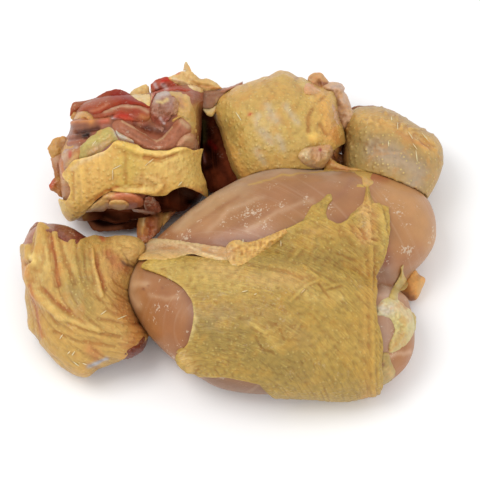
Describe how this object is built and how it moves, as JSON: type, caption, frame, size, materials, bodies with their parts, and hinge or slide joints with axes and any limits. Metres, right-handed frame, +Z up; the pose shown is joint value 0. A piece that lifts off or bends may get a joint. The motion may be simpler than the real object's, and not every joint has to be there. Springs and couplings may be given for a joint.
{
  "type": "cut-up whole chicken",
  "caption": "Raw whole chicken cut into pieces and heaped: breast with loose skin in front, thigh, drumstick and back with bone ends behind it, leg piece beside it.",
  "frame": {"origin": "middle of the footprint, on the surface that the pieces lie on", "axes": "+Z up, +X along the breast from its pointed end to its blunt end, -Y towards the breast's skinned half, +Y towards the back, thigh and drumstick behind it"},
  "size_m": [0.2751, 0.2352, 0.0878],
  "materials": {
    "breast_meat": "wet, soft gloss",
    "skin": "wet, soft gloss",
    "dark_meat": "wet, soft gloss",
    "red_muscle": "wet, soft gloss",
    "fat": "wet, soft gloss",
    "organ": "wet, soft gloss",
    "hollow_wall": "wet, soft gloss"
  },
  "bodies": {
    "root": {"breast_meat": "breast_meat", "breast_skin": "skin", "breast_skin_roll": "skin", "leg_skin": "skin", "leg_skin_roll": "skin", "thigh_skin": "skin", "drum_skin": "skin", "back_skin": "skin", "leg_meat": "dark_meat", "thigh_meat": "dark_meat", "thigh_meat_end": "dark_meat", "drum_meat": "dark_meat", "back_body": "dark_meat", "back_hip_knob": "dark_meat", "back_meat_strip": "dark_meat", "back_ledge": "dark_meat", "back_joint_end": "dark_meat", "back_side_meat": "dark_meat", "back_inner_flap": "dark_meat", "neck_strand": "dark_meat", "back_red_muscle": "red_muscle", "back_red_band": "red_muscle", "back_hip_ridge": "red_muscle", "breast_top_fat": "fat", "breast_end_fat": "fat", "breast_fat_finger": "fat", "breast_low_fat": "fat", "thigh_knuckle": "fat", "thigh_top_knob": "fat", "back_fat_wedge": "fat", "back_fat_flap": "fat", "back_fat_band": "fat", "back_strip_fat": "fat", "back_membrane": "fat", "back_side_flap": "fat", "back_organ_fat": "fat", "back_organ": "organ", "orange_tip": "organ", "back_lower_wall": "hollow_wall", "back_inner_wall": "hollow_wall"}
  },
  "joints": []
}
